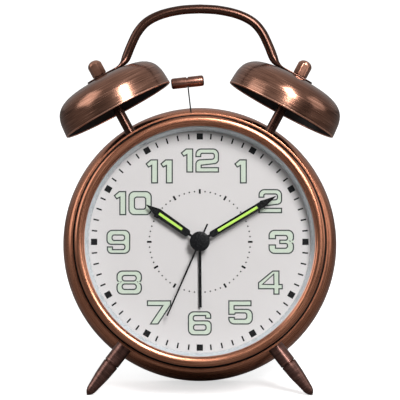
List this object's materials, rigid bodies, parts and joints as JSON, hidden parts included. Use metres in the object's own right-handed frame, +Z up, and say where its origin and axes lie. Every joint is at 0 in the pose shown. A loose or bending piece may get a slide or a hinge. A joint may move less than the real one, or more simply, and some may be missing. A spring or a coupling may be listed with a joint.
{
  "type": "alarm clock",
  "caption": "Twin-bell quartz alarm clock: round copper-plated drum case with white dial, domed bells on posts, swinging hammer, arched carrying handle and splayed front legs.",
  "frame": {"origin": "middle of the footprint on the table, under the clock", "axes": "+Z up from the table, +X to the right of the dial, +Y from the dial towards the back cover"},
  "size_m": [0.121, 0.0706, 0.1654],
  "materials": {
    "copper_case": "antique copper plate, brushed round the case, clear lacquer",
    "copper_bell": "antique copper plate, brushed round the bell, dark in the grooves",
    "dark_copper": "antique copper plate, smooth and darker",
    "bright_steel": "zinc-plated steel",
    "brass_train": "plain turned brass",
    "black_plastic": "fine matt texture",
    "white_plastic": "plain moulded acetal",
    "grey_flange": "smooth glossy grey",
    "dial_face": "white printed dial, satin",
    "lens_glass": "clear flat lens",
    "black_rubber": "matt",
    "hand_black": "satin black paint with a lume stripe",
    "magnet": "sintered",
    "coil_wire": "enamelled copper wire",
    "circuit": "green solder mask",
    "battery_skin": "plain wrapped cell"
  },
  "bodies": {
    "case": {"case_drum": "copper_case", "bezel": "copper_case", "bell_left": "copper_bell", "bell_right": "copper_bell", "handle": "dark_copper", "cap_nut_left": "dark_copper", "cap_nut_right": "dark_copper", "bell_post_left": "dark_copper", "bell_post_right": "dark_copper", "leg_stem_left": "dark_copper", "leg_stem_right": "dark_copper", "leg_foot_left": "dark_copper", "leg_foot_right": "dark_copper", "leg_nut_left": "bright_steel", "leg_nut_right": "bright_steel", "post_nut_left": "bright_steel", "post_nut_right": "bright_steel", "back_screw_1": "bright_steel", "back_screw_2": "bright_steel", "back_screw_3": "bright_steel", "stator": "bright_steel", "hammer_bracket": "bright_steel", "hammer_pivot_pin": "bright_steel", "alarm_motor": "bright_steel", "battery_contact_left": "bright_steel", "battery_contact_right": "bright_steel", "back_cover": "black_plastic", "movement_front": "black_plastic", "movement_rear": "black_plastic", "dial_flange": "grey_flange", "dial": "dial_face", "lens": "lens_glass", "bezel_seal": "black_rubber", "bell_washer_left": "black_rubber", "bell_washer_right": "black_rubber", "coil": "coil_wire", "circuit_board": "circuit", "battery_1": "battery_skin", "battery_2": "battery_skin"},
    "hammer": {"hammer_lever": "black_plastic", "hammer_wire": "bright_steel", "hammer_head": "dark_copper"},
    "striker": {"striker_crank": "white_plastic"},
    "seconds": {"second_wheel": "brass_train", "second_hand": "hand_black"},
    "rotor": {"rotor": "magnet"},
    "intermediate": {"intermediate_wheel": "white_plastic"},
    "third": {"third_wheel": "white_plastic"},
    "minute_drive": {"minute_wheel": "brass_train"},
    "minute": {"cannon_pinion": "brass_train", "minute_hand": "hand_black"},
    "motion": {"motion_wheel": "white_plastic"},
    "hour": {"hour_wheel": "white_plastic", "hour_hand": "hand_black"},
    "time_setting": {"time_knob": "black_plastic"},
    "alarm_setting": {"alarm_knob": "black_plastic"},
    "alarm_pointer": {"alarm_wheel": "white_plastic", "alarm_hand": "hand_black"},
    "switch": {"alarm_switch": "white_plastic"},
    "door": {"battery_door": "black_plastic"}
  },
  "joints": [
    {"name": "hammer_swing", "type": "hinge", "parent": "case", "child": "hammer", "pos_m": [0, -0.00281, 0.08646], "axis": [0, 0.9781, -0.2079], "range_deg": [0, 12.9]},
    {"name": "striker_spin", "type": "hinge", "parent": "case", "child": "striker", "pos_m": [0, 0.00183, 0.09528], "axis": [0, 0.9781, -0.2079], "continuous": true},
    {"name": "second_spin", "type": "hinge", "parent": "case", "child": "seconds", "pos_m": [0, -0.01432, 0.066], "axis": [0, 0.9781, -0.2079], "continuous": true},
    {"name": "rotor_spin", "type": "hinge", "parent": "case", "child": "rotor", "pos_m": [0.0085, -0.0158, 0.05902], "axis": [0, 0.9781, -0.2079], "continuous": true},
    {"name": "intermediate_spin", "type": "hinge", "parent": "case", "child": "intermediate", "pos_m": [0.0046, -0.01512, 0.06223], "axis": [0, 0.9781, -0.2079], "continuous": true},
    {"name": "third_spin", "type": "hinge", "parent": "case", "child": "third", "pos_m": [-0.00185, -0.01537, 0.06104], "axis": [0, 0.9781, -0.2079], "continuous": true},
    {"name": "minute_drive_spin", "type": "hinge", "parent": "case", "child": "minute_drive", "pos_m": [0, -0.01432, 0.066], "axis": [0, 0.9781, -0.2079], "continuous": true},
    {"name": "minute_spin", "type": "hinge", "parent": "case", "child": "minute", "pos_m": [0, -0.01432, 0.066], "axis": [0, 0.9781, -0.2079], "continuous": true},
    {"name": "motion_spin", "type": "hinge", "parent": "case", "child": "motion", "pos_m": [0.0052, -0.01369, 0.06893], "axis": [0, 0.9781, -0.2079], "continuous": true},
    {"name": "hour_spin", "type": "hinge", "parent": "case", "child": "hour", "pos_m": [0, -0.01432, 0.066], "axis": [0, 0.9781, -0.2079], "continuous": true},
    {"name": "time_knob_spin", "type": "hinge", "parent": "case", "child": "time_setting", "pos_m": [0.01039, -0.01307, 0.07187], "axis": [0, 0.9781, -0.2079], "continuous": true},
    {"name": "alarm_spin", "type": "hinge", "parent": "case", "child": "alarm_pointer", "pos_m": [0, -0.01432, 0.066], "axis": [0, 0.9781, -0.2079], "continuous": true},
    {"name": "alarm_knob_spin", "type": "hinge", "parent": "case", "child": "alarm_setting", "pos_m": [-0.00649, -0.01354, 0.06967], "axis": [0, 0.9781, -0.2079], "continuous": true},
    {"name": "alarm_switch_slide", "type": "slide", "parent": "case", "child": "switch", "axis": [1, 0, 0], "range_m": [0, 0.005]},
    {"name": "battery_door_hinge", "type": "hinge", "parent": "case", "child": "door", "pos_m": [0, 0.01956, 0.04551], "axis": [1, 0, 0], "range_deg": [0, 90]}
  ],
  "couplings": [
    {"joint": "rotor_spin", "follows": "second_spin", "ratio": 30},
    {"joint": "intermediate_spin", "follows": "second_spin", "ratio": -4},
    {"joint": "third_spin", "follows": "second_spin", "ratio": -0.13333},
    {"joint": "minute_drive_spin", "follows": "second_spin", "ratio": 0.016667},
    {"joint": "motion_spin", "follows": "minute_spin", "ratio": -0.33333},
    {"joint": "hour_spin", "follows": "minute_spin", "ratio": 0.083333},
    {"joint": "time_knob_spin", "follows": "minute_spin", "ratio": 1},
    {"joint": "alarm_knob_spin", "follows": "alarm_spin", "ratio": -4}
  ]
}
